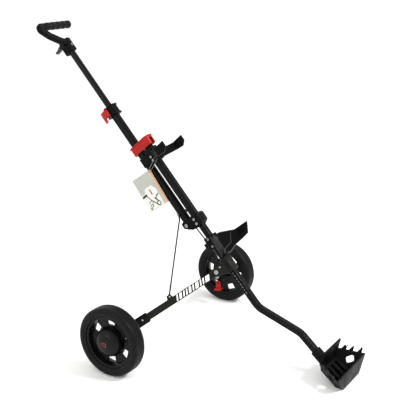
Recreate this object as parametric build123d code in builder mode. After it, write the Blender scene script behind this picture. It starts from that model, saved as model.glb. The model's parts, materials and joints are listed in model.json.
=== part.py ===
from build123d import *
import os
from math import cos, radians, sin, tan

# A folding two-wheel pull cart for a golf bag, standing open on its wheels and foot.
# X runs across the cart, the handle is toward +Y and the foot toward -Y, Z is up.
# Right means -X, as seen by somebody who walks behind the handle.
# The origin is on the floor, in the middle of the cart's box.

# ---- driving dimensions, millimetres and degrees ----
axle_y = 84.0  # the wheels' axle, behind the middle of the box
rake = 48.3  # slope of the main tubes above the floor
wheel_radius = 115.0
tyre_width = 55.0
track = 714.0
front_tube_behind = -366.5  # front tube's axis, from the axle's floor point, square to the tubes
back_tube_behind = -326.0  # back tube and handle shaft, behind the front tube
tube_radius = 15.0
tube_wall = 1.5
shaft_radius = 11.0
square_tube = 20.5
square_tube_corner = 3.2
leg_height = 23.0
leg_thickness = 12.0
sliding_gap = 0.08
clearance = 0.5

# ---- stations along the tubes, from the floor point under the axle ----
hub_station = 79.0
lower_cradle_station = 172.0
upper_cradle_station = 535.0
front_tube_start = 243.0
front_tube_end = 530.0
fold_pin_station = 266.5
rod_pin_station = 314.0
lock_station = 578.0
collar_station = 742.0
back_tube_end = 745.0
shaft_start = 520.0
shaft_end = 1030.0
grip_station = 1110.0

# ---- the legs ----
leg_hinge_share = 0.12  # of the way from the hub to the wheel's centre
leg_end_share = 0.885
rod_share = 0.5
rod_lift = 16.0
rod_pin_across = 22.0

across = Vector(1, 0, 0)
up_tube = Vector(0, cos(radians(rake)), sin(radians(rake)))
back = Vector(0, sin(radians(rake)), -cos(radians(rake)))
floor_point = Vector(0, axle_y, 0)


def tube_point(station, behind, x=0.0):
    return floor_point + up_tube * station + back * behind + across * x


def cross_plane(station, behind, x=0.0):
    """Square to the tubes: local x is across, y is back, z is up the tube."""
    return Plane(origin=tube_point(station, behind, x), x_dir=across, z_dir=up_tube)


def side_plane(station, behind, x=0.0):
    """Seen from the side: local x is up the tube, y is to the front, z is across."""
    return Plane(origin=tube_point(station, behind, x), x_dir=up_tube, z_dir=across)


os.makedirs("parts", exist_ok=True)


def write(piece, name):
    piece.part.label = name
    export_step(piece.part, f"parts/{name}.step")


def write_pair(piece, name):
    write(piece, f"right_{name}")
    with BuildPart() as other_side:
        mirror(piece.part, about=Plane.YZ)
    write(other_side, f"left_{name}")


# ---- places that several pieces share ----
hub = tube_point(hub_station, front_tube_behind)
right_wheel = Vector(-track / 2, axle_y, wheel_radius)
leg_line = right_wheel - hub
leg_direction = leg_line.normalized()
fold_axis = up_tube.cross(leg_direction).normalized()
leg_top = fold_axis.cross(leg_direction).normalized() * -1
if leg_top.dot(up_tube) < 0:
    leg_top = leg_top * -1


def leg_plane(share, lift=0.0, out=0.0):
    """On the right leg: local x is along the leg, z is along the fold axis."""
    place = hub + leg_line * share + leg_top * lift + fold_axis * out
    return Plane(origin=place, x_dir=leg_direction, z_dir=fold_axis)


leg_top_sign = 1 if leg_plane(0).y_dir.dot(leg_top) > 0 else -1
rod_top = tube_point(rod_pin_station, back_tube_behind, -rod_pin_across)
rod_foot = leg_plane(rod_share, rod_lift).origin

# ---- frame: square lower tube, from inside the front tube to the foot ----
first_bend = floor_point + Vector(0, -335, 175)
second_bend = floor_point + Vector(0, -491, 122)
lower_tube_end = floor_point + Vector(0, -566, 55.5)
lower_tube_top = tube_point(330, front_tube_behind)
with BuildPart() as lower_tube:
    with BuildLine() as lower_tube_path:
        FilletPolyline(lower_tube_top, first_bend, second_bend, lower_tube_end, radius=70)
    start = Plane(origin=lower_tube_top, x_dir=across, z_dir=up_tube * -1)
    with BuildSketch(start):
        RectangleRounded(square_tube, square_tube, square_tube_corner)
        RectangleRounded(square_tube - 3, square_tube - 3, square_tube_corner - 1.5, mode=Mode.SUBTRACT)
    sweep(path=lower_tube_path.line)
write(lower_tube, "lower_tube")

# ---- hub bracket: a collar on the square tube with two forked wings for the legs ----
hub_collar = 33.0
wing_sheet = 2.0
wing_gap = leg_thickness + 2 * clearance
with BuildPart() as hub_bracket:
    with BuildSketch(cross_plane(hub_station - 25, front_tube_behind)):
        RectangleRounded(hub_collar, hub_collar, 5)
    extrude(amount=50)
    tip = leg_line.length * leg_hinge_share
    for out in (-(wing_gap + wing_sheet) / 2, (wing_gap + wing_sheet) / 2):
        with BuildSketch(leg_plane(0, out=out)):
            with BuildLine():
                Polyline((2, 23), (tip, 14), (tip + 13, 6), (tip + 13, -6), (tip, -14), (2, -23), close=True)
            make_face()
        extrude(amount=wing_sheet / 2, both=True)
    mirror(about=Plane.YZ)
    with BuildSketch(leg_plane(leg_hinge_share)):
        SlotCenterPoint((0, 0), (30, 0), leg_height + 5)
    extrude(amount=wing_gap / 2, both=True, mode=Mode.SUBTRACT)
    with BuildSketch(leg_plane(leg_hinge_share)):
        Circle(4.02)
    extrude(amount=wing_gap, both=True, mode=Mode.SUBTRACT)
    mirror(about=Plane.YZ, mode=Mode.INTERSECT)
    with BuildSketch(cross_plane(hub_station - 30, front_tube_behind)):
        RectangleRounded(square_tube + 0.1, square_tube + 0.1, square_tube_corner)
    extrude(amount=60, mode=Mode.SUBTRACT)
write(hub_bracket, "hub_bracket")

pin_reach = wing_gap / 2 + wing_sheet
with BuildPart() as leg_pin:
    with BuildSketch(leg_plane(leg_hinge_share, out=-pin_reach)):
        Circle(4)
    extrude(amount=2 * pin_reach)
    for out, way in ((pin_reach, 1), (-pin_reach, -1)):
        with BuildSketch(leg_plane(leg_hinge_share, out=out)):
            Circle(7)
        extrude(amount=3 * way)
write_pair(leg_pin, "leg_pin")

# ---- legs: flat rectangular tubes from the hub to the wheels ----
leg_nose = leg_height / 2
leg_length = leg_line.length * (leg_end_share - leg_hinge_share)
with BuildPart() as leg:
    with BuildSketch(leg_plane(leg_hinge_share)):
        Circle(leg_nose)
        with Locations((leg_length / 2, 0)):
            Rectangle(leg_length, leg_height)
    extrude(amount=leg_thickness / 2, both=True)
    fillet(leg.edges().filter_by(lambda e: e.length > leg_length * 0.9), radius=2)
    with BuildSketch(leg_plane(leg_hinge_share)):
        with Locations((leg_length / 2 + 15, 0)):
            Rectangle(leg_length, leg_height - 3)
    extrude(amount=leg_thickness / 2 - 1.5, both=True, mode=Mode.SUBTRACT)
    with BuildSketch(leg_plane(leg_hinge_share)):
        Circle(4 + sliding_gap)
    extrude(amount=leg_thickness, both=True, mode=Mode.SUBTRACT)
write_pair(leg, "leg")

# The rod's lug is a strap on the leg's top edge, with the bolt that the rod's foot hangs on.
with BuildPart() as rod_lug:
    with BuildSketch(leg_plane(rod_share, out=leg_thickness / 2)):
        with BuildLine():
            top = leg_top_sign * (rod_lift + 7)
            Polyline((-14, 0), (-7, top), (7, top), (14, 0), close=True)
        make_face()
    extrude(amount=2.5)
    with BuildSketch(leg_plane(rod_share, rod_lift, leg_thickness / 2 + 2.5)):
        RegularPolygon(5, 6)
    extrude(amount=4)
write_pair(rod_lug, "rod_lug")

# ---- axle sockets: moulded ends that hold the legs and the axles ----
socket_inner = 294.0
socket_outer = 324.0
socket_nose_end = 332.6
axle_radius = 6.0


def axle_plane(x):
    """Square to the right axle, facing out of the cart."""
    return Plane(origin=(-x, axle_y, wheel_radius), x_dir=(0, 1, 0), z_dir=(-1, 0, 0))


with BuildPart() as axle_socket:
    with BuildSketch(axle_plane(socket_inner)):
        Circle(18)
    extrude(amount=socket_outer - socket_inner)
    fillet(axle_socket.edges().filter_by(GeomType.CIRCLE), radius=2)
    with BuildSketch(axle_plane(socket_outer - 1)):
        Circle(10)
    extrude(amount=socket_nose_end - socket_outer + 1)
    sleeve = leg_line.length * 0.205
    with BuildSketch(leg_plane(0.70)):
        with Locations((sleeve / 2, 0)):
            RectangleRounded(sleeve, leg_height + 9, 4)
    extrude(amount=leg_thickness / 2 + 3.5, both=True)
    leg_stop = leg_line * (1 - 0.855)
    with BuildSketch(axle_plane(socket_inner)):
        Circle(18)
        with Locations((-leg_stop.Y, leg_stop.Z)):
            Circle(15)
        make_hull()
    extrude(amount=socket_outer - socket_inner - 6)
    with BuildSketch(axle_plane(socket_nose_end)):
        Circle(60)
    extrude(amount=40, mode=Mode.SUBTRACT)
    with BuildSketch(leg_plane(0.68)):
        with Locations((sleeve / 2, 0)):
            Rectangle(sleeve, leg_height)
    extrude(amount=leg_thickness / 2, both=True, mode=Mode.SUBTRACT)
    with BuildSketch(axle_plane(socket_inner - 1)):
        Circle(axle_radius)
    extrude(amount=60, mode=Mode.SUBTRACT)
write_pair(axle_socket, "axle_socket")

# ---- axles, with the washers that hold the wheels on ----
hub_half = 24.0
axle_end = track / 2 + hub_half + 5
with BuildPart() as axle:
    with BuildSketch(axle_plane(socket_inner - 3)):
        Circle(axle_radius)
    extrude(amount=axle_end - socket_inner + 3)
    chamfer(axle.faces().sort_by(Axis.X)[0].edges(), length=1)
    with BuildSketch(axle_plane(socket_inner - 5)):
        Circle(axle_radius + 4)
    extrude(amount=5)
write_pair(axle, "axle")

with BuildPart() as axle_washer:
    with BuildSketch(axle_plane(track / 2 + hub_half + 0.4)):
        Circle(11)
        Circle(axle_radius, mode=Mode.SUBTRACT)
    extrude(amount=1.6)
write_pair(axle_washer, "axle_washer")

# ---- wheels: dished plastic disc with six windows, rubber tyre, two bushes and a cap ----
rim_radius = 84.0
bush_radius = 10.0
wheel_section = Plane(origin=right_wheel, x_dir=(-1, 0, 0), z_dir=(0, 1, 0))
wheel_axis = Axis(right_wheel, (1, 0, 0))
window_turns = {"right": 30.0, "left": 54.0}
for side, window_turn in window_turns.items():
    with BuildPart() as wheel_disc:
        with BuildSketch(wheel_section):
            with BuildLine():
                Polyline(
                    (-hub_half, bush_radius), (hub_half, bush_radius), (hub_half, 17), (13, 22), (1, 50),
                    (2, 74), (19, 79), (21, rim_radius), (-21, rim_radius), (-19, 79), (-6, 77), (-6, 50),
                    (6, 24), (-hub_half, 16), close=True,
                )
            make_face()
        revolve(axis=wheel_axis)
        with BuildSketch(axle_plane(track / 2 - 30)):
            with PolarLocations(0, 6, start_angle=window_turn):
                with Locations((63, 0)):
                    Trapezoid(34, 20, 78, rotation=90)
        extrude(amount=60, mode=Mode.SUBTRACT)
    if side == "left":
        with BuildPart() as mirrored_disc:
            mirror(wheel_disc.part, about=Plane.YZ)
        write(mirrored_disc, "left_wheel_disc")
    else:
        write(wheel_disc, "right_wheel_disc")


with BuildPart() as tyre:
    with BuildSketch(wheel_section) as tyre_section:
        with Locations((0, (rim_radius + wheel_radius) / 2)):
            Rectangle(tyre_width, wheel_radius - rim_radius)
        fillet(tyre_section.vertices().group_by(Axis.Z)[-1], radius=13)
        fillet(tyre_section.vertices().group_by(Axis.Z)[0], radius=6)
        with Locations((0, wheel_radius)):
            with GridLocations(8, 1, 4, 1):
                Rectangle(2, 3, mode=Mode.SUBTRACT)
    revolve(axis=wheel_axis)
write_pair(tyre, "tyre")

with BuildPart() as wheel_bushes:
    for start in (-hub_half - 0.4, hub_half - 12):
        with BuildSketch(axle_plane(track / 2 + start + 0.4)):
            Circle(bush_radius)
            Circle(axle_radius + sliding_gap, mode=Mode.SUBTRACT)
        extrude(amount=12)
write_pair(wheel_bushes, "wheel_bushes")

with BuildPart() as hub_cap:
    with BuildSketch(wheel_section):
        with BuildLine():
            Polyline(
                (3, 50), (20, 46), (31, 38), (37, 28), (40, 15), (41, 0),
                (38, 0), (37, 13), (34.5, 26), (29, 35), (18, 43), (3, 47), close=True,
            )
        make_face()
    revolve(axis=wheel_axis)
write_pair(hub_cap, "hub_cap")

# ---- foot pedal of the parking brake, on the left leg's socket ----
pedal_pin_y = -8.0
pedal_pin_z = 90.0


def left_axle_plane(x, y, z):
    return Plane(origin=(x, axle_y + y, z), x_dir=(0, 1, 0), z_dir=(1, 0, 0))


with BuildPart() as brake_bracket:
    with BuildSketch(left_axle_plane(socket_inner + 2, pedal_pin_y, pedal_pin_z)):
        Circle(8)
        with Locations((3, 10)):
            Rectangle(12, 14)
    extrude(amount=6)
    with BuildSketch(left_axle_plane(socket_inner - 20, 0, wheel_radius)):
        Circle(18.02)
    extrude(amount=60, mode=Mode.SUBTRACT)
    with BuildSketch(left_axle_plane(socket_inner - 10, pedal_pin_y, pedal_pin_z)):
        Circle(3)
    extrude(amount=18)
write(brake_bracket, "brake_bracket")

with BuildPart() as brake_pedal:
    with BuildSketch(left_axle_plane(socket_inner - 9, pedal_pin_y, pedal_pin_z)):
        with BuildLine():
            Polyline((-7, 0), (-4, 7), (4, 7), (8, 0), (10, -14), (6, -24), (-6, -26), (-8, -12), close=True)
        make_face()
        Circle(3 + sliding_gap, mode=Mode.SUBTRACT)
    extrude(amount=8)
    with BuildSketch(left_axle_plane(socket_inner - 18, pedal_pin_y, pedal_pin_z)):
        with Locations((-1, -25)):
            Rectangle(24, 6, rotation=-8)
    extrude(amount=24)
write(brake_pedal, "brake_pedal")

# ---- upper frame: front tube, fold block and its pin ----
with BuildPart() as front_tube:
    with BuildSketch(cross_plane(front_tube_start, front_tube_behind)):
        Circle(tube_radius)
        Circle(tube_radius - tube_wall, mode=Mode.SUBTRACT)
    extrude(amount=front_tube_end - front_tube_start)
write(front_tube, "front_tube")

block_half = tube_radius + clearance + 5.0
tube_spacing = back_tube_behind - front_tube_behind
with BuildPart() as fold_block:
    with BuildSketch(side_plane(fold_pin_station, back_tube_behind)):
        with BuildLine():
            Polyline(
                (-4, -15), (14, -15), (18, 0), (15, 18), (17, 54), (9, 62), (-20, 61), (-30, 40),
                (-25, 12), (-15, 0), close=True,
            )
        make_face()
    extrude(amount=block_half, both=True)
    fillet(fold_block.edges().filter_by(Axis.X), radius=4)
    with BuildSketch(cross_plane(200, front_tube_behind)):
        Circle(tube_radius)
    extrude(amount=200, mode=Mode.SUBTRACT)
    with BuildSketch(cross_plane(fold_pin_station, back_tube_behind)):
        with Locations((0, -1)):
            Rectangle(2 * (tube_radius + clearance), 42)
    extrude(amount=60, both=True, mode=Mode.SUBTRACT)
    with BuildSketch(side_plane(fold_pin_station, back_tube_behind)):
        Circle(4.02)
    extrude(amount=block_half + 1, both=True, mode=Mode.SUBTRACT)
write(fold_block, "fold_block")

with BuildPart() as fold_pin:
    with BuildSketch(side_plane(fold_pin_station, back_tube_behind)):
        Circle(4)
    extrude(amount=block_half, both=True)
    for x in (-block_half - 2.5, block_half):
        with BuildSketch(side_plane(fold_pin_station, back_tube_behind, x)):
            Circle(6.5)
        extrude(amount=2.5)
write(fold_pin, "fold_pin")

with BuildPart() as block_screws:
    for station in (fold_pin_station + 1, fold_pin_station - 16):
        with BuildSketch(side_plane(station, front_tube_behind, -block_half - 2)):
            Circle(4.5)
            RegularPolygon(2, 6, mode=Mode.SUBTRACT)
        extrude(amount=2)
write(block_screws, "block_screws")

# ---- bag cradles: curved yokes clamped to the tubes ----
yoke_wall = 9.0


def yoke_outline(half_width, reach):
    """Half of a U in plan, from its root on the tube to the tip of one arm."""
    elbow = -reach * 0.55
    Polyline(
        (0, -8), (22, -8), (half_width + 3, elbow), (half_width, -reach),
        (half_width - yoke_wall + 3, -reach), (half_width + 3 - yoke_wall, elbow), (15, -24), (0, -23),
    )


lower_reach = 120.0
with BuildPart() as lower_cradle:
    with BuildSketch(cross_plane(lower_cradle_station, front_tube_behind)) as lower_yoke:
        with BuildLine():
            yoke_outline(58, lower_reach)
            mirror(about=Plane.YZ)
        make_face()
        fillet(lower_yoke.vertices(), radius=2.9)
    extrude(amount=80, both=True)
    with BuildSketch(side_plane(lower_cradle_station, front_tube_behind)):
        with BuildLine():
            Polyline(
                (15, -30), (15, 22), (-6, 60), (-8.5, 121), (-43, 96), (-50, 42), (-62, 18),
                (-62, -30), close=True,
            )
        make_face()
    extrude(amount=90, both=True, mode=Mode.INTERSECT)
    with BuildSketch(cross_plane(lower_cradle_station - 22, front_tube_behind)):
        RectangleRounded(38, 38, 6)
    extrude(amount=44)
    with BuildSketch(cross_plane(lower_cradle_station - 8, front_tube_behind)):
        with Locations((0, 26)):
            RectangleRounded(22, 20, 5)
    extrude(amount=16)
    with BuildSketch(cross_plane(lower_cradle_station - 9, front_tube_behind)):
        with Locations((0, 28)):
            Circle(5)
    extrude(amount=18, mode=Mode.SUBTRACT)
    with BuildSketch(cross_plane(lower_cradle_station - 80, front_tube_behind)):
        RectangleRounded(square_tube + 0.1, square_tube + 0.1, square_tube_corner)
    extrude(amount=130, mode=Mode.SUBTRACT)
write(lower_cradle, "lower_cradle")

horn_top = lock_station + 3
upper_reach = 100.0
with BuildPart() as upper_cradle:
    with BuildSketch(cross_plane(upper_cradle_station, front_tube_behind)) as upper_yoke:
        with BuildLine():
            yoke_outline(58, upper_reach)
            mirror(about=Plane.YZ)
        make_face()
        fillet(upper_yoke.vertices(), radius=2.9)
    extrude(amount=60, both=True)
    with BuildSketch(side_plane(upper_cradle_station, front_tube_behind)):
        with BuildLine():
            Polyline(
                (10, -30), (10, 16), (-3, 30), (-6, 60), (-5, 101), (-24, 101), (-38, 82), (-33, 48),
                (-29, 16), (-34, -30), close=True,
            )
        make_face()
    extrude(amount=90, both=True, mode=Mode.INTERSECT)
    with BuildSketch(cross_plane(upper_cradle_station - 32, front_tube_behind)):
        RectangleRounded(42, 38, 8)
    extrude(amount=52)
    with BuildSketch(cross_plane(upper_cradle_station - 26, front_tube_behind)):
        with Locations((0, 28)):
            Rectangle(42, 40)
    extrude(amount=34)
    with BuildSketch(cross_plane(upper_cradle_station - 40, back_tube_behind)):
        with Locations((0, 30)):
            Rectangle(2 * (tube_radius + clearance), 60 + 2 * (tube_radius + clearance))
    extrude(amount=120, mode=Mode.SUBTRACT)
    with BuildSketch(cross_plane(upper_cradle_station + 10, front_tube_behind)):
        with Locations((0, -3)):
            RectangleRounded(14, 24, 3)
    extrude(amount=horn_top - upper_cradle_station - 10)
    with BuildSketch(cross_plane(upper_cradle_station - 40, front_tube_behind)):
        Circle(tube_radius)
    extrude(amount=front_tube_end - upper_cradle_station + 40, mode=Mode.SUBTRACT)
write(upper_cradle, "upper_cradle")

with BuildPart() as cradle_screws:
    for station in (lower_cradle_station - 14, lower_cradle_station + 14):
        with BuildSketch(side_plane(station, front_tube_behind, -21)):
            Circle(4)
            RegularPolygon(1.8, 6, mode=Mode.SUBTRACT)
        extrude(amount=2)
write(cradle_screws, "lower_cradle_screws")

with BuildPart() as upper_screws:
    for station in (upper_cradle_station - 24, upper_cradle_station - 10):
        with BuildSketch(side_plane(station, front_tube_behind, -23)):
            Circle(4)
            RegularPolygon(1.8, 6, mode=Mode.SUBTRACT)
        extrude(amount=2)
write(upper_screws, "upper_cradle_screws")

# ---- foot: a flared scoop under the bag, with windows, a back plate and four teeth ----
foot_wall = 4.0
foot_front = 671.0


def foot_section(front, bottom, bottom_half, top, top_half):
    section = Plane(origin=(0, axle_y - front, 0), x_dir=across, z_dir=(0, -1, 0))
    with BuildSketch(section) as outline:
        with BuildLine():
            Polyline(
                (-bottom_half, bottom), (bottom_half, bottom), (top_half, top), (-top_half, top), close=True
            )
        make_face()
    return outline.sketch


tube_run = (lower_tube_end - second_bend).normalized()
with BuildPart() as foot_base:
    loft(
        [
            foot_section(590, 40, 56, 70, 66),
            foot_section(644, -2, 60, 56, 97),
            foot_section(foot_front, -2, 62, 49, 115),
        ],
        ruled=True,
    )
    loft(
        [
            foot_section(594, 44, 52, 79, 63.5),
            foot_section(644, 4.5, 57, 66, 98.5),
            foot_section(foot_front - foot_wall, 4.5, 59, 59, 119),
        ],
        ruled=True,
        mode=Mode.SUBTRACT,
    )
    with BuildSketch():
        with Locations((0, axle_y - 640)):
            Rectangle(300, 200)
    extrude(amount=-10, mode=Mode.SUBTRACT)
    with BuildSketch(Plane(origin=(0, axle_y, 0), x_dir=(0, 1, 0), z_dir=(1, 0, 0))):
        with BuildLine():
            Polyline((-594, 60), (-587, 60), (-599, 106), (-605, 104), close=True)
        make_face()
    extrude(amount=63, both=True)
    with BuildSketch(Plane(origin=(0, axle_y, 0), x_dir=(0, 1, 0), z_dir=(1, 0, 0))):
        with Locations((-634, 36)):
            RectangleRounded(22, 20, 6, rotation=-18)
    extrude(amount=130, both=True, mode=Mode.SUBTRACT)
    with BuildSketch(Plane(origin=lower_tube_end - tube_run * 30, x_dir=across, z_dir=tube_run)):
        RectangleRounded(29, 29, 6)
    extrude(amount=52)
    with BuildSketch(Plane(origin=lower_tube_end - tube_run * 60, x_dir=across, z_dir=tube_run)):
        RectangleRounded(square_tube + 0.1, square_tube + 0.1, square_tube_corner)
    extrude(amount=61, mode=Mode.SUBTRACT)
    for side in (-1, 1):
        for front, out, top in ((612, 76, 64), (650, 101, 54)):
            tooth = Plane(origin=(side * (out - 2), axle_y - front, top - 6), z_dir=(side * 0.5, -0.3, 0.8))
            with BuildSketch(tooth):
                Circle(3.6)
            extrude(amount=26, taper=6)
write(foot_base, "foot_base")

# ---- handle body: back tube, collar, pin that both link rods turn on ----
with BuildPart() as back_tube:
    with BuildSketch(cross_plane(fold_pin_station - 14.5, back_tube_behind)):
        Circle(tube_radius)
        Circle(tube_radius - tube_wall, mode=Mode.SUBTRACT)
    extrude(amount=back_tube_end - fold_pin_station + 14.5)
    with BuildSketch(side_plane(fold_pin_station, back_tube_behind)):
        Circle(4 + sliding_gap)
    extrude(amount=30, both=True, mode=Mode.SUBTRACT)
    with BuildSketch(side_plane(rod_pin_station, back_tube_behind)):
        Circle(2.51)
    extrude(amount=30, both=True, mode=Mode.SUBTRACT)
write(back_tube, "back_tube")

with BuildPart() as rod_pin:
    with BuildSketch(side_plane(rod_pin_station, back_tube_behind)):
        Circle(2.5)
    extrude(amount=26, both=True)
    for x in (-28, 26):
        with BuildSketch(side_plane(rod_pin_station, back_tube_behind, x)):
            Circle(4.2)
        extrude(amount=2)
write(rod_pin, "rod_pin")

collar_half = 18.0
collar_width = 38.0
collar_depth = 42.0
lever_pin_x = -24.0
lever_pin_back = 4.0
with BuildPart() as shaft_collar:
    with BuildSketch(cross_plane(collar_station - collar_half, back_tube_behind)):
        RectangleRounded(collar_width, collar_depth, 12)
    extrude(amount=2 * collar_half)
    for start in (-collar_half, collar_half - 4):
        with BuildSketch(cross_plane(collar_station + start, back_tube_behind)):
            RectangleRounded(collar_width + 6, collar_depth + 6, 14)
            with Locations((lever_pin_x, lever_pin_back)):
                Circle(5)
        extrude(amount=4)
    with BuildSketch(cross_plane(collar_station - 40, back_tube_behind)):
        Circle(tube_radius)
    extrude(amount=back_tube_end - collar_station + 40, mode=Mode.SUBTRACT)
    with BuildSketch(cross_plane(collar_station - 40, back_tube_behind)):
        Circle(shaft_radius + sliding_gap)
    extrude(amount=80, mode=Mode.SUBTRACT)
    with BuildSketch(cross_plane(collar_station - 30, back_tube_behind)):
        with Locations((lever_pin_x, lever_pin_back)):
            Circle(2.01)
    extrude(amount=60, mode=Mode.SUBTRACT)
write(shaft_collar, "shaft_collar")

with BuildPart() as lever_pin:
    with BuildSketch(cross_plane(collar_station - collar_half, back_tube_behind)):
        with Locations((lever_pin_x, lever_pin_back)):
            Circle(2)
    extrude(amount=2 * collar_half)
write(lever_pin, "cam_lever_pin")

lever_half = collar_half - 4 - clearance
with BuildPart() as cam_lever:
    with BuildSketch(cross_plane(collar_station - lever_half, back_tube_behind)):
        with BuildLine():
            Polyline((-20.5, 4), (-22, 22), (-19, 33), (-23, 35), (-28, 24), (-28.4, 4), close=True)
        make_face()
        with Locations((lever_pin_x, lever_pin_back)):
            Circle(4.4)
            Circle(2 + sliding_gap, mode=Mode.SUBTRACT)
    extrude(amount=2 * lever_half)
    with BuildSketch(cross_plane(collar_station - lever_half - 12, back_tube_behind)):
        with BuildLine():
            Polyline((-22, 22), (-19, 33), (-23, 35), (-28, 24), close=True)
        make_face()
    extrude(amount=14)
write(cam_lever, "cam_lever")

# ---- lock sleeve: slides on the back tube and drops over the upper cradle's horn ----
lock_half = 16.0
with BuildPart() as lock_sleeve:
    lock_middle = tube_spacing / 2 + 4
    with BuildSketch(cross_plane(lock_station - lock_half, back_tube_behind)):
        with Locations((0, -lock_middle)):
            RectangleRounded(40, 92, 14)
    extrude(amount=2 * lock_half)
    with BuildSketch(cross_plane(lock_station + lock_half - 4, back_tube_behind)):
        with Locations((0, -lock_middle)):
            RectangleRounded(45, 97, 16)
    extrude(amount=4)
    with BuildSketch(cross_plane(lock_station - 40, back_tube_behind)):
        Circle(tube_radius + sliding_gap)
    extrude(amount=80, mode=Mode.SUBTRACT)
    with BuildSketch(cross_plane(lock_station - 40, back_tube_behind)):
        with Locations((0, -tube_spacing / 2 - 35)):
            Rectangle(16, 70)
    extrude(amount=40 + horn_top - lock_station + 3, mode=Mode.SUBTRACT)
write(lock_sleeve, "lock_sleeve")

# ---- handle shaft, with its guide inside the back tube, and the moulded head ----
with BuildPart() as handle_shaft:
    with BuildSketch(cross_plane(shaft_start, back_tube_behind)):
        Circle(shaft_radius)
        Circle(shaft_radius - 1.4, mode=Mode.SUBTRACT)
    extrude(amount=shaft_end - shaft_start)
write(handle_shaft, "handle_shaft")

with BuildPart() as shaft_guide:
    with BuildSketch(cross_plane(shaft_start, back_tube_behind)):
        Circle(tube_radius - tube_wall - sliding_gap)
        Circle(shaft_radius, mode=Mode.SUBTRACT)
    extrude(amount=20)
write(shaft_guide, "shaft_guide")

head_lever_station = 1038.0
head_lever_behind = -296.0
lever_half_width = 7.0
lever_ear = 4.5
grip_radius = 14.0
grip_start = -60.0
grip_end = 70.0
core_radius = 8.0
handle_behind = -334.0


def handle_plane(station, x):
    """Square to the shaft's side: local x is across, y is up the shaft, z is to the front."""
    return Plane(origin=tube_point(station, handle_behind, x), x_dir=across, z_dir=back * -1)


with BuildPart() as handle_head:
    with BuildSketch(cross_plane(1000, back_tube_behind)):
        with Locations((0, 2)):
            RectangleRounded(28, 44, 9)
    extrude(amount=48)
    with BuildLine() as bar_path:
        bar_points = [
            tube_point(1030, handle_behind, 0), tube_point(1045, handle_behind, -30),
            tube_point(1070, handle_behind, -66), tube_point(1096, handle_behind, -88),
            tube_point(grip_station, handle_behind, -84),
            tube_point(grip_station, handle_behind, grip_start + 1),
        ]
        FilletPolyline(*bar_points, radius=7)
    with BuildSketch(Plane(origin=bar_points[0], x_dir=back, z_dir=bar_points[1] - bar_points[0])):
        RectangleRounded(20, 24, 7)
    sweep(path=bar_path.line)
    with BuildSketch(Plane(origin=bar_points[-1], x_dir=up_tube, z_dir=across)):
        Circle(core_radius)
    extrude(amount=grip_end - grip_start - 9)
    for x in (-lever_half_width - clearance - lever_ear, lever_half_width + clearance):
        with BuildSketch(side_plane(head_lever_station, head_lever_behind, x)):
            Circle(5)
            with Locations((0, 5)):
                Rectangle(10, 10)
        extrude(amount=lever_ear)
    with BuildSketch(side_plane(head_lever_station, head_lever_behind)):
        Circle(2.01)
    extrude(amount=20, both=True, mode=Mode.SUBTRACT)
    with BuildSketch(cross_plane(900, back_tube_behind)):
        Circle(shaft_radius)
    extrude(amount=shaft_end - 900, mode=Mode.SUBTRACT)
    with BuildSketch(Plane(origin=tube_point(1019, -350), x_dir=across, z_dir=back)):
        Circle(5.5)
    extrude(amount=6, mode=Mode.SUBTRACT)
write(handle_head, "handle_head")

with BuildPart() as head_bolt:
    with BuildSketch(Plane(origin=tube_point(1019, -346), x_dir=across, z_dir=back)):
        Circle(5)
        RegularPolygon(2.5, 6, mode=Mode.SUBTRACT)
    extrude(amount=2)
write(head_bolt, "head_bolt")

grip_bulges = 5
with BuildPart() as grip:
    grip_origin = tube_point(grip_station, handle_behind, grip_start + 1.5)
    section = Plane(origin=grip_origin, x_dir=across, z_dir=back)
    with BuildSketch(section):
        with BuildLine():
            length = grip_end - grip_start - 1.5
            bulge = length / grip_bulges
            points = [(0, core_radius), (0, grip_radius - 2)]
            for number in range(grip_bulges):
                points += [
                    ((number + 0.25) * bulge, grip_radius), ((number + 0.75) * bulge, grip_radius),
                    ((number + 1) * bulge, grip_radius - 2.5),
                ]
            points += [(length, 0), (length - 8, 0), (length - 8, core_radius)]
            Polyline(*points, close=True)
        make_face()
    revolve(axis=Axis(section.origin, (1, 0, 0)))
write(grip, "grip")

# ---- small lever behind the head that frees the handle's clamp ----
with BuildPart() as head_lever:
    with BuildSketch(side_plane(head_lever_station, head_lever_behind)):
        Circle(5)
        with BuildLine():
            Polyline((5, 0), (2, -28), (-5, -27), (-5, 0), close=True)
        make_face()
        Circle(2 + sliding_gap, mode=Mode.SUBTRACT)
    extrude(amount=lever_half_width, both=True)
write(head_lever, "head_lever")

with BuildPart() as head_lever_pin:
    with BuildSketch(side_plane(head_lever_station, head_lever_behind)):
        Circle(2)
    extrude(amount=lever_half_width + clearance + lever_ear, both=True)
write(head_lever_pin, "head_lever_pin")

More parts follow.
